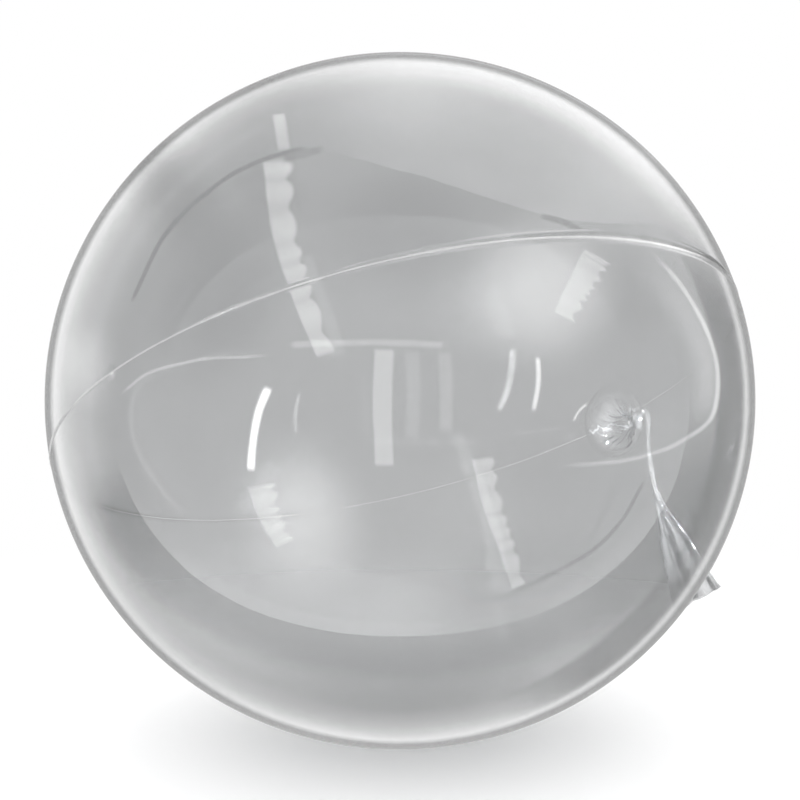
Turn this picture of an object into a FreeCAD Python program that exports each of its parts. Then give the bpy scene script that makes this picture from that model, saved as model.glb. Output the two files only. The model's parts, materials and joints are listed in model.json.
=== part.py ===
import FreeCAD, Part
import math
import os

os.makedirs("parts", exist_ok=True)

Vector = FreeCAD.Vector

# A clear inflated beach ball: two film panels heat-sealed round one tilted ring,
# with a gathered neck, a knot, a thin stretched stem and a flared, cut tail.
# The origin is the centre of the flat patch that the ball rests on, +Z is up.

# ---- driving dimensions, millimetres and degrees ----
BALL_WIDTH = 500.0              # across the widest level of the inflated ball
FLATTENING = 0.981              # the free ball's height divided by its width
FOOT_RADIUS = 30.0              # radius of the flat patch under the ball
FILM = 0.3                      # thickness of every film wall

SEAM_LEAN = 28.5                # tilt of the seam ring's plane from level
SEAM_HEADING = 119.0            # level direction that the ring's normal leans towards, from +X
SEAM_WIDTH = 1.6                # width of the heat-sealed line
SEAM_PROUD = 0.4                # how far the weld bead stands out of the skin
SEAM_DEEP = 0.4                 # how far it stands into the air inside

NECK_HEADING = 44.3             # level direction of the neck, from +X
COLLAR_RADIUS = 30.0            # where the gathers of the neck start in the skin
COLLAR_WAIST_RADIUS = 12.0      # mid radius of the gathered cone
COLLAR_WAIST_RISE = 6.5         # height of the cone there, above the skin
COLLAR_TOP_RADIUS = 5.0         # radius of the tight end under the knot
COLLAR_TOP_RISE = 22.0          # height of the tight end above the skin
COLLAR_PLUG = 2.0               # depth of the gathered film that closes the tight end
CLEARANCE = 0.3                 # gap between bodies that turn on each other

KNOT_CORE_RADIUS = 5.5          # lump of the knot
KNOT_WRAP_RADIUS = 5.0          # centre line of the wrap tied round the lump
KNOT_WRAP_THICKNESS = 5.2       # diameter of that wrap
KNOT_WRAP_TILT = 25.0           # tilt of the wrap from square to the neck

STEM_RADIUS = 2.2               # twisted, stretched neck
STEM_KNUCKLE_RADIUS = 2.8       # rounded end where the tail folds on it

TAIL_ROOT_WIDTH = 7.0           # width where the tail leaves the stem
TAIL_SHOULDER_WIDTH = 16.0      # width where the crumpled root opens out
TAIL_SHOULDER_DISTANCE = 28.0   # distance of that place from the fold
TAIL_END_WIDTH = 46.0           # width of the cut end
TAIL_CUT_SLANT = 16.5           # how much shorter the outer edge is than the inner edge
TAIL_FACING = -15.0             # level direction that the tail's outer edge points, from +X
TAIL_GAP = 0.8                  # air between the two layers
TAIL_WELD_WIDTH = 2.0           # width of each sealed side edge

# The stem's course, as distances from the knot: outwards, sideways and upwards.
STEM_RISE = (2.6, 4.2, 7.9)     # end of the short rise out of the knot
STEM_CROWN = (4.8, 6.3, 9.4)    # top of the bend
STEM_DROP = (7.4, 8.2, 1.0)     # where the bend has turned downwards
STEM_MIDDLE = (8.0, 10.5, -31.0)
STEM_END = (9.0, 18.7, -64.5)   # the fold where the tail starts
TAIL_REACH = (30.7, 44.8, -148.2)   # middle of the cut end

# ---- values worked out from them ----
half_width = BALL_WIDTH / 2.0
half_height = half_width * FLATTENING
foot_share = FOOT_RADIUS / half_width
centre_height = half_height * math.sqrt(1.0 - foot_share ** 2)
centre = Vector(0, 0, centre_height)
up = Vector(0, 0, 1)
edge_of_seam = SEAM_WIDTH / 2.0
beyond = BALL_WIDTH


def heading(degrees):
    """Level unit vector that points the given way, measured from +X towards +Y."""
    angle = math.radians(degrees)
    return Vector(math.cos(angle), math.sin(angle), 0)


def seam_normal():
    """Unit normal of the seam ring's plane."""
    lean = math.radians(SEAM_LEAN)
    return heading(SEAM_HEADING) * math.sin(lean) + up * math.cos(lean)


outwards = heading(NECK_HEADING)
sideways = outwards.cross(up)


def neck_place():
    """Point where the neck's axis leaves the skin, on the seam ring, and the skin's normal there."""
    normal = seam_normal()
    slope = -normal.dot(outwards) / normal.dot(up)
    reach = 1.0 / math.sqrt(1.0 / half_width ** 2 + slope ** 2 / half_height ** 2)
    arm = (outwards + up * slope) * reach
    skin_normal = Vector(arm.x / half_width ** 2, arm.y / half_width ** 2, arm.z / half_height ** 2)
    skin_normal.normalize()
    return centre + arm, skin_normal


neck_root, neck_axis = neck_place()
knot_centre = neck_root + neck_axis * (COLLAR_TOP_RISE + CLEARANCE + KNOT_CORE_RADIUS)
knot_reach = KNOT_WRAP_RADIUS + KNOT_WRAP_THICKNESS / 2.0


def from_knot(course):
    """Point at the given distances outwards, sideways and upwards from the knot."""
    return knot_centre + outwards * course[0] + sideways * course[1] + up * course[2]


tail_fold = from_knot(STEM_END)
tail_end = from_knot(TAIL_REACH)
tail_length = (tail_end - tail_fold).Length


# ---- helpers ----
def save(shape, node):
    """Write one sub-part, after making sure that it is whole."""
    if not shape.isValid():
        raise ValueError(node + " is not valid")
    shape.exportStep("parts/" + node + ".step")


def level(radius, z):
    """Point at a radius and a height, in the upright plane that is turned round the ball's axis."""
    return Vector(radius, 0, z)


def ellipse_arc(wide, high, z_from, z_to):
    """Arc of the ball's outline on the +X side, between two heights above the ball's centre."""
    outline = Part.Ellipse(Vector(wide, 0, 0), Vector(0, 0, high), Vector(0, 0, 0))
    edge = Part.ArcOfEllipse(outline, math.asin(z_from / high), math.asin(z_to / high)).toShape()
    edge.translate(centre)
    return edge


def turned_solid(edges, axis_point, axis):
    """Solid that a closed outline makes when it turns once round an axis."""
    face = Part.Face(Part.Wire(Part.__sortEdges__(edges)))
    return face.revolve(axis_point, axis, 360)


def skin_layer(outside, inside):
    """Closed film layer between two offsets from the skin's outer face, flat under the ball."""
    wide_out = half_width + outside
    high_out = half_height + outside
    wide_in = half_width - inside
    high_in = half_height - inside
    floor_in = inside
    foot_out = wide_out * math.sqrt(1.0 - (centre_height / high_out) ** 2)
    foot_in = wide_in * math.sqrt(1.0 - ((centre_height - floor_in) / high_in) ** 2)
    top_out = centre_height + high_out
    top_in = centre_height + high_in
    edges = [
        ellipse_arc(wide_out, high_out, -centre_height, high_out),
        Part.makeLine(level(0, top_out), level(0, top_in)),
        ellipse_arc(wide_in, high_in, floor_in - centre_height, high_in),
        Part.makeLine(level(foot_in, floor_in), level(0, floor_in)),
        Part.makeLine(level(0, floor_in), level(0, 0)),
        Part.makeLine(level(0, 0), level(foot_out, 0)),
    ]
    return turned_solid(edges, Vector(0, 0, 0), up)


def seam_slab(low, high):
    """Flat slab square to the seam's normal, between two distances from the seam's plane."""
    size = 3.0 * BALL_WIDTH
    slab = Part.makeBox(size, size, high - low, Vector(-size / 2.0, -size / 2.0, low))
    slab.Placement = FreeCAD.Placement(centre, FreeCAD.Rotation(up, seam_normal()))
    return slab


def neck_plug():
    """Round plug along the neck's axis that clears the skin for the gathered collar."""
    depth = COLLAR_RADIUS
    return Part.makeCylinder(COLLAR_RADIUS, 2.0 * depth, neck_root - neck_axis * depth, neck_axis)


# ---- the ball's skin ----
def film_panel(low, high):
    """The film on one side of the seam."""
    return skin_layer(0.0, FILM).common(seam_slab(low, high)).cut(neck_plug())


def seam_weld():
    """The heat-sealed bead all round the ball, open where the neck leaves it."""
    bead = skin_layer(SEAM_PROUD, FILM + SEAM_DEEP).common(seam_slab(-edge_of_seam, edge_of_seam))
    return bead.cut(neck_plug())


# ---- the neck ----
def neck_frame():
    """Placement that carries +Z at the origin onto the neck's axis at the skin."""
    return FreeCAD.Placement(neck_root, FreeCAD.Rotation(up, neck_axis))


def skin_drop(radius):
    """How far the skin falls away at a distance from the neck's axis."""
    return half_width - math.sqrt(half_width ** 2 - radius ** 2)


def neck_collar():
    """Gathered cone of film that rises from the skin and closes under the knot."""
    rim_drop = -skin_drop(COLLAR_RADIUS)
    outer = Part.Arc(level(COLLAR_RADIUS, rim_drop), level(COLLAR_WAIST_RADIUS, COLLAR_WAIST_RISE),
                     level(COLLAR_TOP_RADIUS, COLLAR_TOP_RISE)).toShape()
    inner_top = COLLAR_TOP_RISE - COLLAR_PLUG
    inner_radius = COLLAR_TOP_RADIUS - 2.0 * FILM
    inner = Part.Arc(level(COLLAR_RADIUS, rim_drop - FILM),
                     level(COLLAR_WAIST_RADIUS - FILM, COLLAR_WAIST_RISE - 1.5 * FILM),
                     level(inner_radius, inner_top)).toShape()
    edges = [
        outer,
        Part.makeLine(level(COLLAR_TOP_RADIUS, COLLAR_TOP_RISE), level(0, COLLAR_TOP_RISE)),
        Part.makeLine(level(0, COLLAR_TOP_RISE), level(0, inner_top)),
        Part.makeLine(level(0, inner_top), level(inner_radius, inner_top)),
        inner,
        Part.makeLine(level(COLLAR_RADIUS, rim_drop - FILM), level(COLLAR_RADIUS, rim_drop)),
    ]
    collar = turned_solid(edges, Vector(0, 0, 0), up)
    collar.Placement = neck_frame()
    return collar


def neck_knot():
    """The neck tied on itself: a lump with one wrap round it."""
    core = Part.makeSphere(KNOT_CORE_RADIUS)
    tilt = math.radians(KNOT_WRAP_TILT)
    wrap_axis = Vector(math.sin(tilt), 0, math.cos(tilt))
    wrap = Part.makeTorus(KNOT_WRAP_RADIUS, KNOT_WRAP_THICKNESS / 2.0, Vector(0, 0, 0), wrap_axis)
    knot = core.fuse(wrap)
    knot.Placement = FreeCAD.Placement(knot_centre, neck_frame().Rotation)
    return knot


def stem_path():
    """The stem's centre line: a short rise, a bend over, and a long slack drop."""
    rise_end = from_knot(STEM_RISE)
    drop_start = from_knot(STEM_DROP)
    bend = Part.Arc(rise_end, from_knot(STEM_CROWN), drop_start)
    drop = Part.Arc(drop_start, from_knot(STEM_MIDDLE), tail_fold)
    return [Part.makeLine(knot_centre, rise_end), bend.toShape(), drop.toShape()]


def round_run(edge, radius):
    """Round bar along one edge of the stem's centre line."""
    start = edge.valueAt(edge.FirstParameter)
    along = edge.tangentAt(edge.FirstParameter)
    profile = Part.Wire(Part.makeCircle(radius, start, along))
    return Part.Wire(edge).makePipeShell([profile], True, False)


def neck_stem():
    """The stretched neck between the knot and the tail."""
    runs = stem_path()
    stem = round_run(runs[0], STEM_RADIUS)
    for edge in runs[1:]:
        joint = Part.makeSphere(STEM_RADIUS, edge.valueAt(edge.FirstParameter))
        stem = stem.fuse(joint).fuse(round_run(edge, STEM_RADIUS))
    stem = stem.fuse(Part.makeSphere(STEM_KNUCKLE_RADIUS, tail_fold))
    return stem.cut(Part.makeSphere(knot_reach + CLEARANCE, knot_centre))


# ---- the tail ----
def tail_frame():
    """Placement of the flat tail: +X along it, +Y across it towards its outer edge."""
    along = tail_end - tail_fold
    along.normalize()
    across = heading(TAIL_FACING)
    across = across - along * across.dot(along)
    across.normalize()
    return FreeCAD.Placement(tail_fold, FreeCAD.Rotation(along, across, along.cross(across), "XYZ"))


def tail_half_width(distance):
    """Half of the tail's width at a distance from the fold."""
    if distance <= TAIL_SHOULDER_DISTANCE:
        share = distance / TAIL_SHOULDER_DISTANCE
        return (TAIL_ROOT_WIDTH + share * (TAIL_SHOULDER_WIDTH - TAIL_ROOT_WIDTH)) / 2.0
    share = (distance - TAIL_SHOULDER_DISTANCE) / (tail_length - TAIL_SHOULDER_DISTANCE)
    return (TAIL_SHOULDER_WIDTH + share * (TAIL_END_WIDTH - TAIL_SHOULDER_WIDTH)) / 2.0


def tail_corners(side, inset):
    """Points down one side edge of the tail, set in from the edge."""
    stations = [STEM_RADIUS, TAIL_SHOULDER_DISTANCE, tail_length - side * TAIL_CUT_SLANT / 2.0]
    return [Vector(x, side * (tail_half_width(x) - inset), 0) for x in stations]


def tail_plate(points, bottom, thickness):
    """Flat plate with the given outline in the tail's plane, cleared round the fold."""
    face = Part.Face(Part.makePolygon(points + points[:1]))
    face.translate(Vector(0, 0, bottom))
    plate = face.extrude(Vector(0, 0, thickness))
    plate = plate.cut(Part.makeSphere(STEM_KNUCKLE_RADIUS + CLEARANCE))
    plate.Placement = tail_frame()
    return plate


def tail_film(side):
    """One layer of the tail between its sealed edges; side is +1 in front, -1 behind."""
    outline = tail_corners(-1, TAIL_WELD_WIDTH) + tail_corners(1, TAIL_WELD_WIDTH)[::-1]
    bottom = TAIL_GAP / 2.0
    if side < 0:
        bottom = -TAIL_GAP / 2.0 - FILM
    return tail_plate(outline, bottom, FILM)


def tail_weld(side):
    """One sealed side edge of the tail; side is +1 for the outer edge, -1 for the inner one."""
    outline = tail_corners(side, 0.0) + tail_corners(side, TAIL_WELD_WIDTH)[::-1]
    thickness = TAIL_GAP + 2.0 * FILM
    return tail_plate(outline, -thickness / 2.0, thickness)


save(film_panel(edge_of_seam, beyond), "upper_film_panel")
save(film_panel(-beyond, -edge_of_seam), "lower_film_panel")
save(seam_weld(), "seam_weld")
save(neck_collar(), "neck_collar")
save(neck_knot(), "neck_knot")
save(neck_stem(), "neck_stem")
save(tail_film(1), "tail_front_film")
save(tail_film(-1), "tail_back_film")
save(tail_weld(1), "tail_outer_weld")
save(tail_weld(-1), "tail_inner_weld")
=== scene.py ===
import json
import math
import random

import bmesh
import bpy
import numpy as np
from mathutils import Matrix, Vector

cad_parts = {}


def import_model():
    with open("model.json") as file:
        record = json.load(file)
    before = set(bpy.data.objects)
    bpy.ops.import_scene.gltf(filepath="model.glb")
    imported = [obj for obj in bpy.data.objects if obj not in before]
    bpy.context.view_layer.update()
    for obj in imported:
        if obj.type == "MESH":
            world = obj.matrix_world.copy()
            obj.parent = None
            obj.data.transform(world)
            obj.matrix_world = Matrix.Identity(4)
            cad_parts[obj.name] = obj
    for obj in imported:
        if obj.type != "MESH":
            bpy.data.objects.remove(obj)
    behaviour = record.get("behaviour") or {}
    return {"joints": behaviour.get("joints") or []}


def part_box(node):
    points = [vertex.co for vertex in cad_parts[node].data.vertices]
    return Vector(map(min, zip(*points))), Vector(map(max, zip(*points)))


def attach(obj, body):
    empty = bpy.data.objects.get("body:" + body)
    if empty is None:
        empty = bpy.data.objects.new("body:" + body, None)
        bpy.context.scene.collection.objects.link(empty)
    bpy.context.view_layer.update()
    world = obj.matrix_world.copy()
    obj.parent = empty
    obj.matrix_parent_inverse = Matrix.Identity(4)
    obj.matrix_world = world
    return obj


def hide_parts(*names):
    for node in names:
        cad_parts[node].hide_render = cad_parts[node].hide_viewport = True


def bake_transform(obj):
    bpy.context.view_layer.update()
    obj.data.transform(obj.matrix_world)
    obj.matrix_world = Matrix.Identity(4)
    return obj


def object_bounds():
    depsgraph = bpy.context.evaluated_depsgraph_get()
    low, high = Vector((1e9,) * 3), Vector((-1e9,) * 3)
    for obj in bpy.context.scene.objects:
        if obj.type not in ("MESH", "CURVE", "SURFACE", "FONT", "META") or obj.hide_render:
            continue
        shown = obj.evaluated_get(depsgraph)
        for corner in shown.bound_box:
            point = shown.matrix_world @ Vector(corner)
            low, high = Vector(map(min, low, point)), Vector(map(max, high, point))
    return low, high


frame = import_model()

cad_low, cad_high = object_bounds()
rng = random.Random(7)

# ---------------------------------------------------------------------------
# The ball in the shared frame, in metres. The skin's size comes from the CAD panels.
# ---------------------------------------------------------------------------
film_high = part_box("upper_film_panel")[1]
HALF_WIDTH = -cad_low.x
FLATTENING = 0.981                    # free height over width, as the CAD skin has
HALF_HEIGHT = HALF_WIDTH * FLATTENING
CENTRE = np.array([0.0, 0.0, film_high.z - HALF_HEIGHT])
STRETCH = np.array([HALF_WIDTH, HALF_WIDTH, HALF_HEIGHT])

FILM = 0.0003                         # film wall
SEAM_LEAN = math.radians(28.5)        # tilt of the seam's plane
SEAM_HEADING = math.radians(119.0)    # level direction that its normal leans towards
NECK_HEADING = math.radians(44.3)     # level direction of the neck
COLLAR_RADIUS = 0.030                 # where the collar piece meets the two panels

joints = {joint["name"]: joint for joint in frame["joints"]}


def unit(vector):
    return vector / np.linalg.norm(vector)


def unit_rows(vectors):
    """Each vector of an array, made one long."""
    return vectors / np.maximum(np.linalg.norm(vectors, axis=-1, keepdims=True), 1e-12)


def heading(angle):
    """Level direction at an angle from +X."""
    return np.array([math.cos(angle), math.sin(angle), 0.0])


UP = np.array([0.0, 0.0, 1.0])
SEAM_NORMAL = heading(SEAM_HEADING) * math.sin(SEAM_LEAN) + UP * math.cos(SEAM_LEAN)
NECK_ROOT = np.array(joints["neck_swing"]["pos_m"])
NECK_AXIS = unit(np.array(joints["neck_swing"]["axis"]))
KNOT_CENTRE = np.array(joints["stem_lift"]["pos_m"])
FOLD = np.array(joints["tail_fold"]["pos_m"])
TAIL_ACROSS = unit(np.array(joints["tail_fold"]["axis"]))
OUTWARDS = heading(NECK_HEADING)
SIDEWAYS = np.cross(OUTWARDS, UP)

# A polar grid on the unit ball, round the point where the neck leaves the skin. The seam is a
# great ring through that point, so it is the pair of opposite meridians at 0 and 180 degrees.
POLE = unit((NECK_ROOT - CENTRE) / STRETCH)
SEAM_SIDE = unit(SEAM_NORMAL * STRETCH)
SEAM_SIDE = unit(SEAM_SIDE - POLE * (SEAM_SIDE @ POLE))
ALONG_SEAM = np.cross(SEAM_SIDE, POLE)


# ---------------------------------------------------------------------------
# Small helpers
# ---------------------------------------------------------------------------
def smooth(value, low, high):
    """0 below low, 1 above high, and smooth between them."""
    share = np.clip((value - low) / (high - low), 0.0, 1.0)
    return share * share * (3.0 - 2.0 * share)


def fades_out(distance, full, gone):
    """1 up to the distance full, 0 from the distance gone."""
    return smooth(-distance, -gone, -full)


def waves(angle, terms):
    """A sum of cosines round a circle; terms are (count, size, phase)."""
    total = np.zeros_like(angle)
    for count, size, phase in terms:
        total = total + size * np.cos(count * angle + phase)
    return total


def wave_terms(counts, size):
    """Cosine terms with seeded sizes and phases."""
    return [(count, size * rng.uniform(0.5, 1.0), rng.uniform(0.0, 2.0 * math.pi)) for count in counts]


def make_piece(name, points, faces, material):
    """A mesh object in the shared frame, smooth shaded."""
    mesh = bpy.data.meshes.new(name)
    mesh.from_pydata([tuple(point) for point in points], [], faces)
    mesh.validate()
    mesh.materials.append(material)
    for polygon in mesh.polygons:
        polygon.use_smooth = True
    piece = bpy.data.objects.new(name, mesh)
    bpy.context.scene.collection.objects.link(piece)
    joined = bmesh.new()
    joined.from_mesh(mesh)
    bmesh.ops.remove_doubles(joined, verts=joined.verts, dist=1e-7)
    bmesh.ops.recalc_face_normals(joined, faces=joined.faces)
    joined.to_mesh(mesh)
    joined.free()
    return piece


def grid_faces(rows, columns, closed, start=0, flip=False):
    """Quads of a grid of rows by columns; closed joins the last column to the first."""
    faces = []
    for row in range(rows - 1):
        for column in range(columns if closed else columns - 1):
            after = (column + 1) % columns
            quad = [start + row * columns + column, start + row * columns + after,
                    start + (row + 1) * columns + after, start + (row + 1) * columns + column]
            faces.append(quad[::-1] if flip else quad)
    return faces


def wall_piece(name, outer, inner, closed, material):
    """A thin closed wall between two matching grids of points."""
    rows, columns = outer.shape[:2]
    count = rows * columns
    faces = grid_faces(rows, columns, closed)
    faces += grid_faces(rows, columns, closed, count, True)
    for row in (0, rows - 1):
        for column in range(columns if closed else columns - 1):
            a = row * columns + column
            b = row * columns + (column + 1) % columns
            rim = [a, b, count + b, count + a]
            faces.append(rim[::-1] if row == 0 else rim)
    if not closed:
        for column in (0, columns - 1):
            for row in range(rows - 1):
                a = row * columns + column
                b = a + columns
                rim = [a, b, count + b, count + a]
                faces.append(rim if column == 0 else rim[::-1])
    points = np.concatenate([outer.reshape(-1, 3), inner.reshape(-1, 3)])
    return make_piece(name, points, faces, material)


# ---------------------------------------------------------------------------
# Shape of the skin
# ---------------------------------------------------------------------------
FOOT_SOFTNESS = 0.0006                # rounding where the skin meets the flat patch
CONE_SPAN = (0.0120, 0.0190)          # distances from the neck's axis over which the cone becomes skin
TIP_SPAN = (0.0045, 0.0075)           # distances over which the cone's tight tip ends
GATHER_TWIST = 12.0                   # how fast the gathers wind round the cone, radians per metre
SWELL_TWIST = -30.0                   # the same for the soft swells of slack film
PLEAT_HEIGHT = 0.0011                 # pleats that run out over the skin
SWELL_HEIGHT = 0.0016
POCKET_HEIGHT = 0.0050                # a loose pocket of film below the cone
POCKET_DROP = 0.0165
POCKET_SIZE = (0.0075, 0.0042)
RIPPLE_HEIGHT = 0.00022               # faint pull lines that reach far over the skin
SAG = 0.0055                          # how far the gathered film hangs down

neck_gathers = wave_terms([9, 14, 19, 27], 0.5)
fine_gathers = wave_terms([31, 43], 0.5)
slack_gathers = wave_terms([2, 3, 5], 0.6)
far_gathers = wave_terms([5, 7, 12], 1.0)

# Millimetres from the neck's axis, and over the free skin: a low lip, a groove, then the cone.
NECK_PROFILE = [(62, 0.0), (50, 0.05), (44, -0.12), (39, 0.10), (34, 0.75), (30, 0.15), (26.5, -1.7),
                (23, -2.3), (19.5, -1.0), (16, 1.8), (13, 5.2), (10.4, 9.6), (8.4, 14.2), (6.8, 18.4),
                (5.6, 21.2), (4.6, 22.8), (4.0, 23.3)]


def smooth_path(points, steps):
    """Points along a smooth curve through the given ones, evenly divided between them."""
    points = [np.array(point, float) for point in points]
    ends = [2 * points[0] - points[1]] + points + [2 * points[-1] - points[-2]]
    path = []
    for index in range(1, len(ends) - 2):
        a, b, c, d = ends[index - 1:index + 3]
        for step in range(steps):
            t = step / steps
            path.append(0.5 * (2 * b + (c - a) * t + (2 * a - 5 * b + 4 * c - d) * t ** 2
                               + (3 * b - 3 * c + d - a) * t ** 3))
    path.append(points[-1])
    return np.array(path)


neck_line = smooth_path(NECK_PROFILE, 8)[::-1] / 1000.0


def loose_film(angle, distance, pleat):
    """How far the slack film round the cone stands over the skin."""
    flat = smooth(distance, 0.010, 0.016) * np.exp(-(distance - 0.014) / 0.009)
    rise = PLEAT_HEIGHT * np.clip(flat, 0.0, 1.0) * pleat
    slack = smooth(distance, 0.008, 0.015) * fades_out(distance, 0.020, 0.030)
    rise = rise + SWELL_HEIGHT * slack * waves(angle + SWELL_TWIST * distance, slack_gathers)
    over = distance * np.cos(angle) / POCKET_SIZE[0]
    down = (distance * np.sin(angle) + POCKET_DROP) / POCKET_SIZE[1]
    rise = rise + POCKET_HEIGHT * np.exp(-over ** 2 - down ** 2)
    reach = np.exp(-distance / 0.050) * smooth(distance, 0.018, 0.040)
    return rise + RIPPLE_HEIGHT * reach * waves(angle, far_gathers)


def skin_point(angle, polar, inset):
    """Points on the skin at an angle round the neck and a polar angle from it, set in by inset."""
    distance = polar * HALF_WIDTH
    cone = fades_out(distance, *CONE_SPAN)
    top = fades_out(distance, *TIP_SPAN)
    pleat = waves(angle + GATHER_TWIST * distance, neck_gathers)
    pleat = pleat + waves(angle, fine_gathers) * (0.35 + 0.4 * cone)
    squeeze = 1.0 + cone * (0.17 - 0.06 * top) * pleat
    rise = np.interp(distance, neck_line[:, 0], neck_line[:, 1]) + loose_film(angle, distance, pleat)
    spread = polar * squeeze
    way = (np.cos(spread)[..., None] * POLE
           + np.sin(spread)[..., None] * (np.cos(angle)[..., None] * ALONG_SEAM
                                          + np.sin(angle)[..., None] * SEAM_SIDE))
    point = CENTRE + way * STRETCH
    normal = unit_rows(way / STRETCH)
    point = point + normal * (rise - inset * (1.0 - cone))[..., None]
    sag = smooth(distance, 0.005, 0.012) * fades_out(distance, 0.017, 0.029)
    point = point - (SAG * sag)[..., None] * SEAM_SIDE
    axis = point - NECK_ROOT
    axis = axis - NECK_AXIS * (axis @ NECK_AXIS)[..., None]
    point = point - axis * (cone * inset / np.maximum(distance, 0.002))[..., None]
    height = point[..., 2] - inset
    height = 0.5 * (height + np.sqrt(height ** 2 + FOOT_SOFTNESS ** 2)) - FOOT_SOFTNESS / 2
    point[..., 2] = inset + np.maximum(height, 0.0)
    return point


ROUND_STEPS = 144                     # quads round half of the ball
FIRST_STEP = 0.0035                   # polar step beside the neck, in radians
LAST_STEP = math.radians(1.35)        # polar step on the far side
COLLAR_POLAR = COLLAR_RADIUS / HALF_WIDTH
SEAM_HALF_WIDTH = 0.0008              # half of the sealed line
BEAD_DEPTH = 0.00045
BEAD_RINGS = 720
# The bead's section: across in half widths, out in depths.
BEAD_PROFILE = [(-1.0, -0.25), (-0.85, 0.30), (-0.45, 0.42), (-0.15, 0.75), (0.15, 0.80), (0.45, 0.42),
                (0.85, 0.28), (1.0, -0.25), (0.6, -1.0), (-0.6, -1.0)]


def polar_steps(first, last, finest, coarsest):
    """Polar angles that start fine beside the neck and grow to the coarse step."""
    steps = [first]
    step = finest
    while steps[-1] + step * 1.5 < last:
        steps.append(steps[-1] + step)
        step = min(coarsest, step * 1.12)
    return np.array(steps + [last])


def film_panel(name, side, material):
    """One of the two blown film discs: side 1 above the seam, -1 below it."""
    offset = SEAM_HALF_WIDTH * 0.5
    polar = polar_steps(COLLAR_POLAR, math.pi - offset / HALF_WIDTH, FIRST_STEP, LAST_STEP)
    turn = np.linspace(0.0, math.pi, ROUND_STEPS + 1) * side
    angle, pol = np.meshgrid(turn, polar)
    edge = np.arcsin(np.clip(offset / (HALF_WIDTH * np.sin(pol)), 0.0, 1.0))
    angle = side * np.clip(np.abs(angle), edge, math.pi - edge)
    outer = skin_point(angle, pol, 0.0)
    inner = skin_point(angle, pol, FILM)
    return wall_piece(name, outer, inner, False, material)


def seam_bead(material):
    """The sealed line: a low, slightly uneven bead all round, with a thin raised lip."""
    travel = np.linspace(COLLAR_POLAR, 2.0 * math.pi - COLLAR_POLAR, BEAD_RINGS)
    swell = 1.0 + waves(travel, wave_terms([9, 23, 41, 67, 103], 0.07))
    polar = np.where(travel <= math.pi, travel, 2.0 * math.pi - travel)
    base = np.where(travel <= math.pi, 0.0, math.pi)
    line = skin_point(base, polar, 0.0)
    normal = unit_rows((line - CENTRE) / STRETCH ** 2)
    bead = []
    for across, rise in BEAD_PROFILE:
        out = rise * BEAD_DEPTH * swell
        point = line + SEAM_NORMAL * (across * SEAM_HALF_WIDTH) + normal * out[:, None]
        point[:, 2] = np.maximum(point[:, 2], 0.0)
        bead.append(point)
    bead = np.stack(bead, axis=1)
    rows, columns = bead.shape[:2]
    faces = grid_faces(rows, columns, True)
    faces.append(list(range(columns))[::-1])
    faces.append([(rows - 1) * columns + column for column in range(columns)])
    return make_piece("seam_bead", bead.reshape(-1, 3), faces, material)


def gathered_neck(material):
    """The pleated film between the skin and the knot, closed at the tight end."""
    radii = neck_line[:, 0]
    run = np.concatenate([[0.0], np.cumsum(np.hypot(*np.diff(neck_line, axis=0).T))])
    rim = np.interp(COLLAR_RADIUS, radii, run)
    polar = np.interp(np.linspace(rim, 0.0, 64), run, radii) / HALF_WIDTH
    turn = np.linspace(0.0, 2.0 * math.pi, 433)[:-1]
    angle, pol = np.meshgrid(turn, polar)
    outer = skin_point(angle, pol, 0.0)
    inner = skin_point(angle, pol, FILM)
    piece = wall_piece("gathered_neck", outer, inner, True, material)
    paint_crease_highlights(piece)
    return piece


def paint_crease_highlights(piece):
    """Painted highlights on the gathers: white milky marks along the crumpled seam on both sides and on some
    sharp pleat crests, standing in for their highlights.
    """
    places = np.array([tuple(vertex.co) for vertex in piece.data.vertices]) - NECK_ROOT
    along = places @ ALONG_SEAM
    over = places @ SEAM_SIDE
    distance = np.hypot(along, over)
    angle = np.arctan2(over, along)
    jag = 0.0016 * np.sin(820.0 * distance) + 0.0009 * np.sin(1900.0 * distance + 1.0)
    nearest = np.where(np.abs(angle) < math.pi / 2, angle, angle - np.sign(angle) * math.pi)
    seam = np.exp(-((nearest * distance - jag) / 0.0010) ** 2)
    second = np.exp(-((nearest * distance + 0.0035 + 1.4 * jag) / 0.0008) ** 2)
    second = second * fades_out(distance, 0.016, 0.021)
    ridges = smooth(waves(angle + GATHER_TWIST * distance, neck_gathers), 0.75, 1.5)
    zone = fades_out(distance, 0.0210, 0.0290)
    painted_highlights = (0.75 * seam + 0.6 * second) * zone + 0.45 * ridges * fades_out(distance, 0.010, 0.018)
    # Stored as the crease attribute, which the film material turns into painted highlight.
    crease = piece.data.attributes.new("crease", "FLOAT", "POINT")
    crease.data.foreach_set("value", np.clip(painted_highlights, 0.0, 0.7).astype(np.float32))


# ---------------------------------------------------------------------------
# Materials
# ---------------------------------------------------------------------------
class Nodes:
    """A short way to write a node tree."""

    def __init__(self, name):
        self.material = bpy.data.materials.new(name)
        self.material.use_nodes = True
        self.tree = self.material.node_tree
        self.tree.nodes.clear()

    def add(self, kind, **inputs):
        node = self.tree.nodes.new(kind)
        for key, value in inputs.items():
            if key.startswith("p_"):
                setattr(node, key[2:], value)
        for key, value in inputs.items():
            if key.startswith("p_"):
                continue
            socket = node.inputs[int(key[1:])] if key[1:].isdigit() else node.inputs[key.replace("_", " ")]
            if hasattr(value, "bl_idname") or isinstance(value, bpy.types.NodeSocket):
                self.tree.links.new(value, socket)
            else:
                socket.default_value = value
        return node

    def math(self, operation, first, second=0.0):
        return self.add("ShaderNodeMath", p_operation=operation, i0=first, i1=second).outputs[0]

    def finish(self, shader):
        out = self.add("ShaderNodeOutputMaterial")
        self.tree.links.new(shader, out.inputs["Surface"])
        return self.material


RIPPLE_SCALE = 9.0                    # waves to the metre, roughly, in the film's bumped normal
RIPPLE_DEPTH = 0.004


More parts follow.
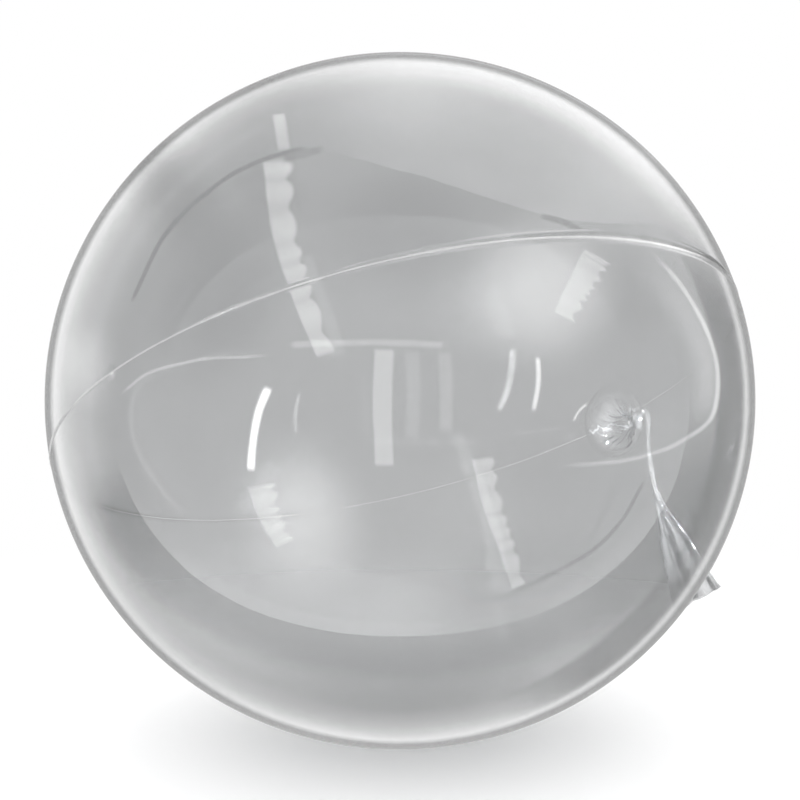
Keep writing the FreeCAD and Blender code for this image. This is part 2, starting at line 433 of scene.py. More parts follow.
def film_ripple(nodes, strength):
    """Faint waviness of stretched film, as a bumped normal."""
    place = nodes.add("ShaderNodeTexCoord").outputs["Object"]
    broad = nodes.add("ShaderNodeTexNoise", Vector=place, Scale=RIPPLE_SCALE, Detail=3.0, Roughness=0.45)
    return nodes.add("ShaderNodeBump", Strength=strength, Distance=RIPPLE_DEPTH,
                     Height=broad.outputs["Fac"]).outputs["Normal"]


def grey(level, scale=1.0):
    """A colour from one level or three."""
    red, green, blue = level if isinstance(level, tuple) else (level, level * 1.01, level * 1.02)
    return (red * scale, green * scale, blue * scale, 1.0)


def mixed_colour(nodes, share, first, second):
    """A colour that goes from the first to the second; each is a colour or a socket."""
    mix = nodes.add("ShaderNodeMix", p_data_type="RGBA", i0=share)
    for name, value in (("A", first), ("B", second)):
        if isinstance(value, tuple):
            mix.inputs[name].default_value = value
        else:
            nodes.tree.links.new(value, mix.inputs[name])
    return mix.outputs["Result"]


def film_share(nodes, away, full, none):
    """1 within the full share of the collar's radius, 0 outside the none share."""
    return nodes.add("ShaderNodeMapRange", Value=away, i1=COLLAR_RADIUS * none, i2=COLLAR_RADIUS * full,
                     i3=0.0, i4=1.0).outputs[0]


def clear_film(name, tint, haze, ripple, milk_level=0.86, rough=1.0, grazing=0.86, passed_on=0.4,
               sheen=0.96, rim_tint=None, end_level=None):
    """Thin clear glossy film. tint is what one face lets through, and grazing what is left of that
    at a flat angle; haze is its milky share, milk_level how light the milk is and passed_on how much
    of its light goes through; sheen is the mirror share at a flat angle. With a rim_tint, tint and haze
    change over to the ball's own film outside the gathers. With an end_level, the milk changes over to
    that level at the points marked cut_end."""
    nodes = Nodes(name)
    place = nodes.add("ShaderNodeTexCoord").outputs["Object"]
    normal = film_ripple(nodes, ripple)
    facing = nodes.add("ShaderNodeLayerWeight", Blend=0.5, Normal=normal).outputs["Facing"]
    rise = nodes.math("POWER", facing, 5.0)
    mirror = nodes.add("ShaderNodeMath", p_operation="MULTIPLY_ADD", i0=rise, i1=sheen, i2=0.04).outputs[0]

    smudge = nodes.add("ShaderNodeTexNoise", Vector=place, Scale=5.0, Detail=6.0, Roughness=0.62)
    roughness = nodes.add("ShaderNodeMapRange", Value=smudge.outputs["Fac"], i1=0.35, i2=0.75,
                          i3=0.012 * rough, i4=0.055 * rough).outputs[0]
    gloss = nodes.add("ShaderNodeBsdfGlossy", Color=(1.0, 1.0, 1.0, 1.0), Roughness=roughness, Normal=normal)

    depth = nodes.math("POWER", facing, 2.0)
    let_through = mixed_colour(nodes, depth, grey(tint), grey(tint, grazing))
    if rim_tint:
        away = nodes.add("ShaderNodeVectorMath", p_operation="DISTANCE", i0=place, i1=tuple(NECK_ROOT))
        away = away.outputs["Value"]
        rim = mixed_colour(nodes, depth, grey(rim_tint), grey(rim_tint, grazing))
        let_through = mixed_colour(nodes, film_share(nodes, away, 0.35, 0.6), rim, let_through)
    through = nodes.add("ShaderNodeBsdfTransparent", Color=let_through)

    milk_colour = grey(milk_level)
    if end_level:
        cut_end = nodes.add("ShaderNodeAttribute", p_attribute_name="cut_end").outputs["Fac"]
        milk_colour = mixed_colour(nodes, cut_end, milk_colour, grey(end_level))
    front = nodes.add("ShaderNodeBsdfDiffuse", Color=milk_colour)
    behind = nodes.add("ShaderNodeBsdfTranslucent", Color=milk_colour)
    milk = nodes.add("ShaderNodeMixShader", Fac=passed_on, i1=front.outputs[0], i2=behind.outputs[0])
    cloud = nodes.add("ShaderNodeTexNoise", Vector=place, Scale=2.2, Detail=5.0, Roughness=0.6)
    share = nodes.add("ShaderNodeMapRange", Value=cloud.outputs["Fac"], i1=0.3, i2=0.75, i3=haze * 0.5,
                      i4=haze * 1.6).outputs[0]
    if end_level:
        share = nodes.math("MAXIMUM", share, nodes.math("MULTIPLY", cut_end, 0.45))
    if rim_tint:
        gathered = film_share(nodes, away, 0.5, 0.9)
        share = nodes.math("MULTIPLY", share, nodes.math("MAXIMUM", gathered, 0.04))
        # The crease attribute is painted highlight: it raises the white milky share along the gathers' seam
        # lines and pleat crests.
        crease = nodes.add("ShaderNodeAttribute", p_attribute_name="crease").outputs["Fac"]
        share = nodes.math("MINIMUM", nodes.math("ADD", share, crease), 0.9)
    body = nodes.add("ShaderNodeMixShader", Fac=share, i1=through.outputs[0], i2=milk.outputs[0])
    skin = nodes.add("ShaderNodeMixShader", Fac=mirror, i1=body.outputs[0], i2=gloss.outputs[0])
    return nodes.finish(skin.outputs[0])


FILM_TINT = (0.785, 0.788, 0.790)
film_material = clear_film("clear_film", FILM_TINT, 0.012, 0.10)
gathered_material = clear_film("gathered_film", (0.92, 0.922, 0.925), 0.15, 0.35, rough=4.5,
                               rim_tint=FILM_TINT)
knot_material = clear_film("tied_film", (0.95, 0.952, 0.955), 0.28, 0.35)
seam_material = clear_film("sealed_seam", (0.965, 0.965, 0.965), 0.06, 0.15)
stem_material = clear_film("stretched_film", (0.95, 0.95, 0.95), 0.30, 0.40)
tail_material = clear_film("tail_film", (0.945, 0.946, 0.947), 0.20, 0.20, milk_level=0.76, rough=3.0,
                           grazing=0.93, passed_on=0.5, sheen=0.45, end_level=0.30)
edge_material = clear_film("tail_edge", (0.90, 0.90, 0.90), 0.45, 0.20, milk_level=0.50)

# ---------------------------------------------------------------------------
# The ball's pieces
# ---------------------------------------------------------------------------
upper = film_panel("upper_film", 1, film_material)
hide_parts("upper_film_panel")
lower = film_panel("lower_film", -1, film_material)
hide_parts("lower_film_panel")
bead = seam_bead(seam_material)
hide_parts("seam_weld")
for piece in (upper, lower):
    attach(piece, "ball")
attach(bead, "ball")
collar = gathered_neck(gathered_material)
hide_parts("neck_collar")
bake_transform(collar)

# ---------------------------------------------------------------------------
# Knot, stem and tail
# ---------------------------------------------------------------------------
def from_knot(outwards, sideways, upwards):
    """A point at distances in millimetres from the knot."""
    return KNOT_CENTRE + (OUTWARDS * outwards + SIDEWAYS * sideways + UP * upwards) / 1000


STEM_POINTS = [
    KNOT_CENTRE - NECK_AXIS * 0.006,
    KNOT_CENTRE,
    from_knot(2.5, 4.1, 7.9),
    from_knot(4.6, 5.9, 9.8),
    from_knot(6.6, 7.5, 7.0),
    from_knot(7.3, 8.0, 0.4),
    from_knot(7.4, 8.0, -10.6),
    from_knot(7.6, 9.2, -27.4),
    from_knot(8.0, 12.0, -41.5),
    from_knot(8.4, 15.7, -54.6),
    FOLD,
]
TAIL_END = from_knot(30.7, 44.8, -148.2)
TAIL_LENGTH = np.linalg.norm(TAIL_END - FOLD)
TAIL_ALONG = (TAIL_END - FOLD) / TAIL_LENGTH
TAIL_FACE = np.cross(TAIL_ALONG, TAIL_ACROSS)


def carried_frames(path, first_side):
    """Two directions square to a path, carried along it without twist."""
    tangents = np.gradient(path, axis=0)
    tangents /= np.linalg.norm(tangents, axis=1, keepdims=True)
    side = first_side
    sides = []
    for tangent in tangents:
        side = unit(side - tangent * (side @ tangent))
        sides.append(side)
    sides = np.array(sides)
    return tangents, sides, np.cross(tangents, sides)


def tube(name, path, radius, first_side, material, columns=40):
    """A closed tube along a path; radius(share along, angle round) gives its surface."""
    tangents, sides, others = carried_frames(path, first_side)
    share = np.linspace(0.0, 1.0, len(path))
    turn = np.linspace(0.0, 2 * math.pi, columns + 1)[:-1]
    along, angle = np.meshgrid(share, turn, indexing="ij")
    size = radius(along, angle)
    points = (path[:, None, :] + sides[:, None, :] * (np.cos(angle) * size)[..., None]
              + others[:, None, :] * (np.sin(angle) * size)[..., None])
    faces = grid_faces(len(path), columns, True)
    faces.append(list(range(columns))[::-1])
    faces.append([(len(path) - 1) * columns + column for column in range(columns)])
    return make_piece(name, points.reshape(-1, 3), faces, material)


def knot_piece(material):
    """The neck tied on itself: a pleated tube that runs once through its own loops."""
    turn = np.linspace(0.0, 2 * math.pi, 241)[:-1]
    side = unit(SIDEWAYS - NECK_AXIS * (SIDEWAYS @ NECK_AXIS))
    other = np.cross(NECK_AXIS, side)
    loop = 0.00170
    centre_line = (KNOT_CENTRE + loop * (np.sin(turn) + 2 * np.sin(2 * turn))[:, None] * side
                   + loop * (np.cos(turn) - 2 * np.cos(2 * turn))[:, None] * other
                   - 1.5 * loop * np.sin(3 * turn)[:, None] * NECK_AXIS)
    tangents = np.roll(centre_line, -1, axis=0) - np.roll(centre_line, 1, axis=0)
    tangents /= np.linalg.norm(tangents, axis=1, keepdims=True)
    away = centre_line - KNOT_CENTRE
    away -= tangents * np.sum(away * tangents, axis=1, keepdims=True)
    away /= np.linalg.norm(away, axis=1, keepdims=True)
    third = np.cross(tangents, away)
    columns = 36
    phi = np.linspace(0.0, 2 * math.pi, columns + 1)[:-1]
    along, angle = np.meshgrid(turn, phi, indexing="ij")
    size = 0.00235 * (1 + 0.13 * np.cos(5 * angle + 3 * along) + 0.07 * np.cos(9 * angle - 5 * along + 1.0))
    points = (centre_line[:, None, :] + away[:, None, :] * (np.cos(angle) * size)[..., None]
              + third[:, None, :] * (np.sin(angle) * size)[..., None])
    rows = len(turn)
    faces = grid_faces(rows, columns, True)
    for column in range(columns):
        after = (column + 1) % columns
        faces.append([(rows - 1) * columns + column, (rows - 1) * columns + after, after, column])
    return make_piece("tied_knot", points.reshape(-1, 3), faces, material)


def stem_radius(share, angle):
    """Twisted film rope: lobes that wind along it, thinner in the middle of the pull."""
    waist = 0.00195 - 0.00045 * np.sin(math.pi * share) + 0.0003 * smooth(share, 0.9, 1.0)
    twist = 26.0 * share
    lobes = 1 + 0.20 * np.cos(3 * angle + twist) + 0.12 * np.cos(5 * angle + 1.6 * twist + 0.8)
    return waist * lobes * (1 + 0.08 * np.cos(23 * share + 1.0)) * smooth(share, -0.03, 0.03)


FILM_TUBE_WIDTH = 0.0475              # flat width of the filling tube
TAIL_ROOT_WIDTH = 0.0046              # width of the bundle where it leaves the stem
TAIL_SHOULDER_WIDTH = 0.0165          # width where the bundle opens out
TAIL_CUT_WIDTH = 0.0455               # width across the slightly wavy cut end
TAIL_CUT_SLANT = 0.0165               # how much shorter the outer edge is than the inner edge
TAIL_START = 0.007                    # length of the bundle before the fold
TAIL_WALL = 0.00022
TAIL_COLUMNS = 97                     # points across one layer
GREY_FROM = 0.034                     # distance from the cut where the film starts to turn grey
GREY_FULL = 0.016                     # distance from the cut where it is all grey
pleats = [(2, 1.0, 0.4), (3, 0.75, 2.1), (5, 0.30, 4.0)]


def tail_width(distance):
    """Width across the gathered tail, by distance from the fold."""
    opening = smooth(distance, -0.010, 0.040)
    narrow = TAIL_ROOT_WIDTH + (TAIL_SHOULDER_WIDTH - TAIL_ROOT_WIDTH) * opening
    return narrow + (TAIL_CUT_WIDTH - TAIL_SHOULDER_WIDTH) * np.clip(
        (distance - 0.012) / (TAIL_LENGTH - 0.012), 0, 1) ** 1.15


def pleat_height(share, terms):
    """Fold pattern across the film, flat at its two sealed edges."""
    edge = np.sin(math.pi * share) ** 0.5
    return edge * sum(size * np.sin(2 * math.pi * count * share + phase) for count, size, phase in terms)


def fold_size(width, heights, share):
    """How high the folds stand, so that the film keeps its flat width across the tail."""
    low, high = 0.0, 0.02
    for _ in range(40):
        middle = (low + high) / 2
        length = np.sum(np.hypot(np.diff(share) * width, np.diff(heights) * middle))
        if length < FILM_TUBE_WIDTH:
            low = middle
        else:
            high = middle
    return low


def tail_line():
    """Centre line of the tail: the stem's last stretch, then a slightly curved hang."""
    stem_end = unit(FOLD - STEM_POINTS[-2])
    bow = TAIL_FACE * 0.004
    points = [FOLD - stem_end * TAIL_START, FOLD, FOLD + TAIL_ALONG * 0.022 + bow * 0.4,
              FOLD + TAIL_ALONG * 0.050 + bow, FOLD + TAIL_ALONG * 0.075 + bow * 0.6, TAIL_END]
    return smooth_path(points, 12)


def tail_surface(layer):
    """Points of one layer's middle surface; layer is 1 in front, -1 behind, 0 between."""
    path = tail_line()
    tangents, sides, faces_out = carried_frames(path, TAIL_ACROSS)
    steps = np.linalg.norm(np.diff(path, axis=0), axis=1)
    distance = np.concatenate([[0], np.cumsum(steps)]) - TAIL_START
    share = np.linspace(0.0, 1.0, TAIL_COLUMNS)
    terms = [(count, size, phase + 0.25 * layer) for count, size, phase in pleats]
    heights = pleat_height(share, terms)
    rows = []
    for row, along in enumerate(distance):
        width = tail_width(along)
        stand = min(fold_size(width, heights, share), 0.09 * width + 0.0003)
        drift = 1 + 0.25 * np.sin(9.0 * share + 60 * along)
        gap = 0.0005 * layer * np.sin(math.pi * share) * (1 + 1.5 * smooth(along, 0.02, 0.09))
        curl = 0.003 * smooth(along, 0.045, TAIL_LENGTH) * (2 * share - 1) ** 2
        wave = 0.0016 * smooth(along, 0.02, 0.09) * np.sin(5.5 * share + 38 * along + 0.4 * layer)
        crumple = np.sin(230 * along + 9 * share) + 0.7 * np.sin(410 * along - 13 * share + 1.0)
        crease = 0.0006 * crumple * (1.5 - share) * smooth(along, -0.002, 0.010)
        crease = crease * fades_out(along, 0.022, 0.050)
        height = stand * heights * drift + gap + curl + wave + crease
        scallop = 0.0016 * np.cos(6.0 * share + 0.8) * smooth(along, 0.06, TAIL_LENGTH)
        scallop = scallop - TAIL_CUT_SLANT * (share - 0.5) * smooth(along, 0.0, TAIL_LENGTH)
        rows.append(path[row] + np.outer(width * (share - 0.5), sides[row]) + np.outer(height, faces_out[row])
                    + np.outer(scallop, tangents[row]))
    return np.array(rows)


def thickened(surface, thickness):
    """Matching grids on the two sides of a middle surface."""
    down = np.gradient(surface, axis=0)
    over = np.gradient(surface, axis=1)
    normal = unit_rows(np.cross(down, over))
    return surface + normal * thickness / 2, surface - normal * thickness / 2


def surface_area(surface):
    """Area of a grid of points."""
    diagonal = surface[1:, 1:] - surface[:-1, :-1]
    other = surface[1:, :-1] - surface[:-1, 1:]
    return float(np.sum(np.linalg.norm(np.cross(diagonal, other), axis=-1)) / 2)


def tail_layer(name, layer, material):
    """One of the tail's two layers of film."""
    front, back = thickened(tail_surface(layer), TAIL_WALL)
    piece = wall_piece(name, front, back, False, material)
    grey_cut_end(piece)
    return piece


def grey_cut_end(piece):
    """Mark the film near the cut, which is shaded grey so that it shows on a pale background."""
    places = np.empty(len(piece.data.vertices) * 3)
    piece.data.vertices.foreach_get("co", places)
    along = (places.reshape(-1, 3) - FOLD) @ TAIL_ALONG
    mark = piece.data.attributes.new("cut_end", "FLOAT", "POINT")
    greyness = smooth(along, TAIL_LENGTH - GREY_FROM, TAIL_LENGTH - GREY_FULL)
    mark.data.foreach_set("value", greyness.astype(np.float32))


def tail_edge(name, column, material):
    """The sealed side edge of the tail: a flat, slightly uneven bead."""
    surface = tail_surface(0)
    path = surface[:, column]
    inward = unit_rows(surface[:, TAIL_COLUMNS // 2] - path)

    def radius(share, angle):
        flat = 0.00050 + 0.00035 * np.abs(np.cos(angle))
        return flat * (1 + 0.12 * np.cos(41 * share) + 0.08 * np.cos(97 * share + 1.3))

    return tube(name, path, radius, inward[0], material, 12)


knot = knot_piece(knot_material)
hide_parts("neck_knot")
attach(knot, "knot")

stem = tube("twisted_neck", smooth_path(STEM_POINTS, 16), stem_radius, OUTWARDS, stem_material)
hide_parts("neck_stem")
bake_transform(stem)

TAIL_LAYERS = (("tail_front_layer", 1, "tail_front_film"), ("tail_back_layer", -1, "tail_back_film"))
TAIL_EDGES = (("tail_outer_edge", TAIL_COLUMNS - 1, "tail_outer_weld"),
              ("tail_inner_edge", 0, "tail_inner_weld"))
tail_pieces = []
for name, layer, node in TAIL_LAYERS:
    piece = tail_layer(name, layer, tail_material)
    tail_pieces.append(piece)
    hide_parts(node)
    surface_area(tail_surface(layer))
    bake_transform(piece)
for name, column, node in TAIL_EDGES:
    piece = tail_edge(name, column, edge_material)
    tail_pieces.append(piece)
    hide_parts(node)
    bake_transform(piece)

# ---------------------------------------------------------------------------
# Floor, light and camera
# ---------------------------------------------------------------------------
CAMERA_DISTANCE = 1.2                 # from the middle of the ball
CAMERA_RISE = math.radians(6.0)
LENS = 75.1
NECK_LIGHT = 630.0                    # watts
NECK_LIGHT_SPREAD = 0.112             # radius of its beam at the neck, 1 m away
NECK_LIGHT_SIZE = 0.12
FLOOR_FADE = (0.12, 0.80)             # distances over which the floor fades out
FLOOR_SIDES = 96


def floor():
    """A pale disc that fades out, so that no horizon shows."""
    nodes = Nodes("pale_floor")
    place = nodes.add("ShaderNodeTexCoord").outputs["Object"]
    away = nodes.add("ShaderNodeVectorMath", p_operation="LENGTH", i0=place).outputs["Value"]
    fade = nodes.add("ShaderNodeMapRange", p_interpolation_type="SMOOTHSTEP", Value=away,
                     i1=FLOOR_FADE[0], i2=FLOOR_FADE[1], i3=0.0, i4=1.0).outputs[0]
    matt = nodes.add("ShaderNodeBsdfDiffuse", Color=(0.96, 0.96, 0.96, 1.0))
    clear = nodes.add("ShaderNodeBsdfTransparent")
    both = nodes.add("ShaderNodeMixShader", Fac=fade, i1=matt.outputs[0], i2=clear.outputs[0])
    material = nodes.finish(both.outputs[0])
    points = [heading(2 * math.pi * side / FLOOR_SIDES) for side in range(FLOOR_SIDES)]
    disc = make_piece("floor", points, [list(range(FLOOR_SIDES))], material)
    disc.location.z = -0.0002
    disc.visible_glossy = False


# Reflectors stand round the ball on a large dome and are seen only in its gloss. Each is laid out by
# where its reflection shows on the front of the ball: right and up from the middle, in ball radii.
DOME = 3.0                            # radius of the dome of reflectors
BACK = np.array([0.0, -math.cos(CAMERA_RISE), math.sin(CAMERA_RISE)])
EYE = CENTRE + BACK * CAMERA_DISTANCE
RIGHT = np.array([1.0, 0.0, 0.0])
TOP = np.cross(RIGHT, -BACK)


def dome_place(right, up, dome):
    """The place on a dome of the given radius that the ball's front shows at (right, up)."""
    reach = HALF_WIDTH / math.sqrt(CAMERA_DISTANCE ** 2 - HALF_WIDTH ** 2)
    ray = unit(-BACK + (RIGHT * right + TOP * up) * reach)
    near = ray @ -BACK * CAMERA_DISTANCE
    offset = EYE - CENTRE
    gap = offset @ offset - (offset @ ray) ** 2
    depth = -(offset @ ray) - math.sqrt(max(HALF_WIDTH ** 2 - gap, 1e-9))
    point = EYE + ray * min(depth, near)
    normal = unit(point - CENTRE)
    bounce = ray - 2 * (ray @ normal) * normal
    out = point - CENTRE
    run = -(out @ bounce) + math.sqrt((out @ bounce) ** 2 + dome ** 2 - out @ out)
    return point + bounce * run


def glow_material(name, level):
    """Light that fades to the patch's edges, or for a negative level a grey veil that does."""
    nodes = Nodes(name)
    glow = nodes.add("ShaderNodeAttribute", p_attribute_name="glow").outputs["Fac"]
    if level > 0:
        clear = nodes.add("ShaderNodeBsdfTransparent")
        light = nodes.add("ShaderNodeEmission", Strength=nodes.math("MULTIPLY", glow, level))
        both = nodes.add("ShaderNodeAddShader", i0=clear.outputs[0], i1=light.outputs[0])
        return nodes.finish(both.outputs[0])
    shade = nodes.add("ShaderNodeMix", p_data_type="RGBA", i0=glow)
    shade.inputs["A"].default_value = (1.0, 1.0, 1.0, 1.0)
    shade.inputs["B"].default_value = (1 + level, 1 + level, 1 + level, 1.0)
    return nodes.finish(nodes.add("ShaderNodeBsdfTransparent", Color=shade.outputs["Result"]).outputs[0])


def reflector(name, spots, fade, level, nearer=0.0):
    """A patch of the dome from a grid of (right, up) spots, with a fade from 0 to 1 at each."""
    rows, columns = fade.shape
    dome = DOME - nearer - (0.05 if level < 0 else 0.0)
    points = [dome_place(right, up, dome) for right, up in spots.reshape(-1, 2)]
    mesh = bpy.data.meshes.new(name)
    mesh.from_pydata([tuple(point) for point in points], [], grid_faces(rows, columns, False))
    glow = mesh.attributes.new("glow", "FLOAT", "POINT")
    glow.data.foreach_set("value", fade.reshape(-1).astype(np.float32))
    mesh.materials.append(glow_material(name, level))
    patch = bpy.data.objects.new(name, mesh)
    bpy.context.scene.collection.objects.link(patch)
    patch.visible_camera = False
    patch.visible_diffuse = False
    patch.visible_transmission = False
    patch.visible_shadow = False


def edge_fade(share, softness):
    """1 in the middle of 0..1 and 0 at both ends, over the given soft share."""
    if softness <= 0:
        return np.ones_like(share)
    return smooth(share, 0.0, softness) * smooth(1 - share, 0.0, softness)


def table_bow(turn):
    """How much nearer the middle the table's edge is at the bottom than at the sides."""
    return 0.134 * np.maximum(-np.sin(turn), 0.0) ** 2.5


def ring_light(name, inner, outer, first, last, level, soft_in=0.3, soft_out=0.3, soft_ends=0.25,
               bow_in=0.0, bow_out=0.0):
    """Part of a ring round the middle of the ball: radii, then angles in degrees from the right."""
    radius_share, turn_share = np.meshgrid(np.linspace(0, 1, 17), np.linspace(0, 1, 49), indexing="ij")
    turn = np.radians(first + (last - first) * turn_share)
    near_edge = inner - bow_in * table_bow(turn)
    radius = near_edge + (outer - bow_out * table_bow(turn) - near_edge) * radius_share
    spots = np.stack([radius * np.cos(turn), radius * np.sin(turn)], axis=-1)
    fade = edge_fade(turn_share, soft_ends)
    if soft_in > 0:
        fade = fade * smooth(radius_share, 0.0, soft_in)
    if soft_out > 0:
        fade = fade * smooth(1 - radius_share, 0.0, soft_out)
    reflector(name, spots, fade, level)


def pool_light(name, right, up, half_wide, half_high, turn, level, softness=1.0):
    """An oval softbox."""
    radius, angle = np.meshgrid(np.linspace(0, 1, 15), np.linspace(0, 2 * math.pi, 49), indexing="ij")
    across = half_wide * radius * np.cos(angle)
    along = half_high * radius * np.sin(angle)
    lean = math.radians(turn)
    spots = np.stack([right + across * math.cos(lean) - along * math.sin(lean),
                      up + across * math.sin(lean) + along * math.cos(lean)], axis=-1)
    reflector(name, spots, smooth(1 - radius, 0.0, softness), level)


def strip_light(name, course, half_width, level, softness=0.35, ends=0.12, scallops=0.0, taper=0.0,
                folds=11, one_sided=False):
    """A strip along a smooth course of (right, up) points. Scallops make one edge wavy and crease it
    like cloth; a one-sided strip is sharp along its course's right and fades away to the left."""
    line = smooth_path([(*point, 0.0) for point in course], 14)[:, :2]
    tangent = unit_rows(np.gradient(line, axis=0))
    normal = np.stack([-tangent[:, 1], tangent[:, 0]], axis=-1)
    share = np.linspace(0, 1, len(line))
    width = half_width * (1 - taper * share)
    across_share = np.linspace(0, 1, 9)
    hang = np.abs(np.sin(math.pi * folds * share + 0.9 * np.sin(11.0 * share)))
    wavy = 1 + scallops * hang
    spots = []
    for row in range(len(line)):
        reach = (across_share * 2 - (0 if one_sided else 1)) * width[row]
        reach = np.where(reach > 0, reach * wavy[row], reach)
        spots.append(line[row] + reach[:, None] * normal[row])
    across_fade = edge_fade(across_share, softness)
    if one_sided:
        across_fade = smooth(1 - across_share, 0.0, 1.0)
    fade = np.outer(edge_fade(share, ends) * (1 - 0.5 * scallops * (1 - hang)), across_fade)
    reflector(name, np.array(spots), fade, level, 0.1)


def studio_reflections():
    """Large soft panels first, then the window, its curtain, and the grey flags."""
    ring_light("ceiling_panel", 0.70, 1.0, 18, 118, 1.4, 0.5, 0.2, 0.35)
    ring_light("ceiling_right_flag", 0.72, 0.98, 25, 92, -0.20, 0.4, 0.4, 0.4)
    ring_light("left_wall_panel", 0.80, 1.0, 105, 225, 0.5, 0.4, 0.2, 0.3)
    ring_light("low_table_panel", 0.16, 0.815, 190, 338, 0.45, 0.35, 0.0, 0.22, 0.0, 1.0)
    ring_light("table_lip", 0.768, 0.815, 200, 350, 0.30, 0.3, 0.0, 0.15, 1.0, 1.0)
    ring_light("table_shadow", 0.815, 0.97, 190, 354, -0.85, 0.0, 0.75, 0.08, 1.0, 1.0)
    ring_light("crescent_flag", 0.815, 0.95, 194, 352, -0.50, 0.0, 0.6, 0.10, 1.0, 1.0)
    ring_light("low_right_flag", 0.815, 0.93, -62, 8, -0.45, 0.0, 0.2, 0.25, 1.0, 0.0)
    ring_light("floor_panel", 0.86, 1.0, 225, 315, 0.35, 0.4, 0.1, 0.4)
    ring_light("right_flag", 0.885, 0.974, -75, 36, -0.65, 0.2, 0.15, 0.2)
    ring_light("edge_flag", 0.972, 1.0, 0, 360, -0.62, 0.6, 0.0, 0.0)
    pool_light("upper_left_flag", -0.50, 0.30, 0.22, 0.36, -18, -0.62, 0.8)
    pool_light("left_shoulder_flag", -0.62, 0.58, 0.16, 0.26, 40, -0.45, 0.9)
    pool_light("upper_middle_flag", 0.02, 0.50, 0.28, 0.26, 0, -0.50, 0.8)
    pool_light("low_middle_flag", 0.30, -0.56, 0.34, 0.24, 20, -0.55, 0.9)
    pool_light("curtain_flag", -0.37, 0.61, 0.13, 0.13, 0, -0.40, 0.9)
    pool_light("right_window_glow", 0.40, 0.33, 0.26, 0.28, -20, 3.7, 0.9)
    pool_light("low_left_glow", -0.27, -0.36, 0.22, 0.25, 15, 2.7, 0.95)
    pool_light("left_window_glow", -0.87, 0.10, 0.10, 0.16, 0, 1.0, 0.9)
    strip_light("ceiling_edge", [(-0.27, 0.74), (0.085, 0.645), (0.45, 0.53), (0.80, 0.51)],
                0.13, 1.2, 0.3, 0.3, one_sided=True)
    strip_light("window_slit", [(-0.365, 0.045), (-0.395, -0.03), (-0.412, -0.12), (-0.418, -0.205)],
                0.014, 14.0, 0.3, 0.08)
    strip_light("window_slit_twin", [(0.385, 0.135), (0.388, 0.06), (0.375, -0.03)], 0.009, 7.0, 0.3, 0.12)
    strip_light("curtain", [(-0.355, 0.70), (-0.335, 0.50), (-0.285, 0.32), (-0.215, 0.13)],
                0.034, 3.4, 0.12, 0.03, 0.70, 0.35, 8)
    strip_light("curtain_top", [(-0.34, 0.83), (-0.325, 0.72)], 0.020, 1.8, 0.2, 0.1)
    strip_light("curtain_wedge", [(-0.335, 0.700), (-0.28, 0.712), (-0.215, 0.728)],
                0.016, -0.55, 0.3, 0.15)
    strip_light("curtain_twin", [(0.225, -0.16), (0.255, -0.30), (0.295, -0.42), (0.335, -0.55)],
                0.026, 2.6, 0.12, 0.03, 0.70, 0.35, 8)
    strip_light("blind", [(0.545, 0.43), (0.50, 0.345), (0.45, 0.25)], 0.036, 2.2, 0.08, 0.04, 0.80, 0.3, 8)
    strip_light("blind_rail", [(0.39, 0.54), (0.47, 0.515), (0.56, 0.46)], 0.012, -0.6, 0.35, 0.12)
    strip_light("blind_twin", [(-0.40, -0.24), (-0.375, -0.33), (-0.33, -0.42)],
                0.032, 2.2, 0.15, 0.06, 0.80, 0.3, 6)
    strip_light("door_edge", [(-0.045, 0.155), (-0.05, 0.0), (-0.045, -0.19)], 0.030, 2.6, 0.12, 0.02)
    strip_light("door_edge_far", [(0.125, 0.15), (0.13, 0.05), (0.125, -0.10)], 0.022, 1.0, 0.2, 0.1)
    strip_light("shelf_edge", [(-0.31, 0.165), (-0.10, 0.172), (0.13, 0.165)], 0.013, 1.6, 0.3, 0.02)
    strip_light("table_rim", [(0.70, 0.44), (0.80, 0.32), (0.885, 0.14), (0.885, -0.03), (0.80, -0.11),
                              (0.66, -0.165), (0.42, -0.19)], 0.010, 2.3, 0.45, 0.12)
    strip_light("rim_glow", [(0.66, 0.42), (0.77, 0.30), (0.85, 0.14), (0.855, 0.0), (0.81, -0.07)],
                0.060, 0.9, 0.5, 0.3)
    strip_light("rosette_glint", [(0.487, -0.062), (0.503, -0.030), (0.530, -0.006)],
                0.0055, 5.5, 0.45, 0.2)
    strip_light("left_line", [(-0.79, 0.02), (-0.70, 0.085), (-0.53, 0.125), (-0.36, 0.135)],
                0.007, 2.4, 0.4, 0.15)
    strip_light("curtain_rail", [(-0.76, 0.28), (-0.66, 0.48), (-0.52, 0.62), (-0.40, 0.69),
                                 (-0.26, 0.735)], 0.008, -0.9, 0.3, 0.05)
    strip_light("rail_twin", [(0.30, -0.56), (0.394, -0.517), (0.535, -0.437), (0.625, -0.345),
                              (0.69, -0.22)], 0.007, -0.92, 0.3, 0.08)


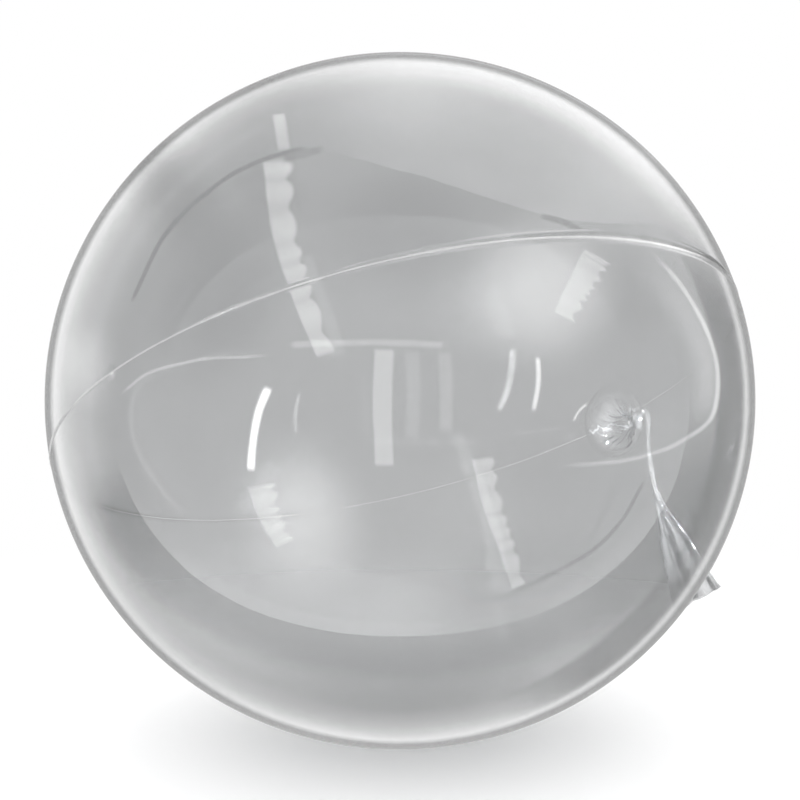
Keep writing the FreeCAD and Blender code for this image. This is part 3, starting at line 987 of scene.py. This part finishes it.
def world():
    """White all round, brighter for the film's milk and its reflections than for the camera."""
    scene_world = bpy.data.worlds.new("studio")
    bpy.context.scene.world = scene_world
    scene_world.use_nodes = True
    tree = scene_world.node_tree
    tree.nodes.clear()
    path = tree.nodes.new("ShaderNodeLightPath")

    def white(strength):
        background = tree.nodes.new("ShaderNodeBackground")
        background.inputs["Color"].default_value = (1.0, 1.0, 1.0, 1.0)
        background.inputs["Strength"].default_value = strength
        return background.outputs[0]

    def switched(ray, others, chosen):
        mix = tree.nodes.new("ShaderNodeMixShader")
        tree.links.new(path.outputs[ray], mix.inputs["Fac"])
        tree.links.new(others, mix.inputs[1])
        tree.links.new(chosen, mix.inputs[2])
        return mix.outputs[0]

    lit = switched("Is Diffuse Ray", white(1.0), white(1.5))
    out = tree.nodes.new("ShaderNodeOutputWorld")
    tree.links.new(switched("Is Glossy Ray", lit, white(1.4)), out.inputs["Surface"])


def neck_light(pieces):
    """A soft spot from the front right that lights only the tied neck and its tail."""
    group = bpy.data.collections.new("neck_pieces")
    for piece in pieces:
        group.objects.link(piece)
    data = bpy.data.lights.new("neck_spot", "SPOT")
    data.shadow_soft_size = NECK_LIGHT_SIZE
    data.energy = NECK_LIGHT
    data.spot_size = 2 * math.atan(NECK_LIGHT_SPREAD)
    data.spot_blend = 1.0
    spot = bpy.data.objects.new("neck_spot", data)
    bpy.context.scene.collection.objects.link(spot)
    aim = from_knot(10.0, 16.0, -62.0)
    place = aim + unit(np.array([0.40, -0.85, 0.45]))
    spot.location = Vector(place)
    spot.rotation_mode = "QUATERNION"
    spot.rotation_quaternion = Vector(aim - place).to_track_quat("-Z", "Y")
    spot.light_linking.receiver_collection = group


def camera():
    """Level with the ball's upper half, as far off as it takes to see it whole."""
    data = bpy.data.cameras.new("camera")
    data.lens = LENS
    view = bpy.data.objects.new("camera", data)
    bpy.context.scene.collection.objects.link(view)
    view.location = Vector(EYE)
    view.rotation_mode = "QUATERNION"
    view.rotation_quaternion = Vector(-BACK).to_track_quat("-Z", "Y")
    data.clip_start = 0.01
    data.clip_end = 50.0
    bpy.context.scene.camera = view


floor()
studio_reflections()
neck_light([collar, knot, stem] + tail_pieces)
world()
camera()

scene = bpy.context.scene
scene.view_settings.view_transform = "Standard"
scene.cycles.transparent_max_bounces = 48
scene.cycles.max_bounces = 12
